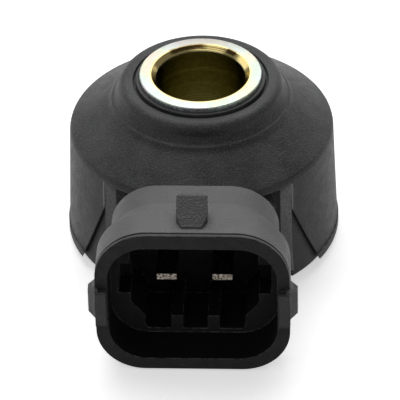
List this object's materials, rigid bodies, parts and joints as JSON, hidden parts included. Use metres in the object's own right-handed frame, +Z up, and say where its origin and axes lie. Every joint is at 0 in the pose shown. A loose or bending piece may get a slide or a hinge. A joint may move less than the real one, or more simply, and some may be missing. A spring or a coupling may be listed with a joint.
{
  "type": "engine knock sensor",
  "caption": "Washer-shaped vibration sensor: a sleeve for the fixing bolt in a black moulded body, with a flared connector socket at the side.",
  "frame": {"origin": "centre of the bolt bore on the contact face that is clamped to the engine block", "axes": "+Z up the bolt axis to the bolt head seat, connector socket opens to -Y"},
  "size_m": [0.0259, 0.0358, 0.018],
  "materials": {
    "moulding": "fine matt mould grain, black glass-filled plastic",
    "plated_steel": "bright zinc plate with a yellow passivated tint",
    "insulating_film": "translucent amber film",
    "contact_brass": "rolled brass",
    "piezo_ceramic": "pressed ceramic with fired silver faces",
    "turned_steel": "turned",
    "spring_steel": "blued spring sheet",
    "tinned_brass": "tinned, worn to the brass at the tips",
    "resistor_body": "lacquered",
    "tinned_wire": "tinned wire"
  },
  "bodies": {
    "root": {"housing": "moulding", "sleeve": "plated_steel", "insulator_lower": "insulating_film", "contact_lower": "contact_brass", "piezo_ring": "piezo_ceramic", "contact_upper": "contact_brass", "insulator_upper": "insulating_film", "insulating_bush": "insulating_film", "seismic_mass": "turned_steel", "disc_spring": "spring_steel", "clamp_nut": "turned_steel", "terminal_left": "tinned_brass", "terminal_right": "tinned_brass", "load_resistor": "resistor_body", "resistor_lead_left": "tinned_wire", "resistor_lead_right": "tinned_wire"}
  },
  "joints": []
}
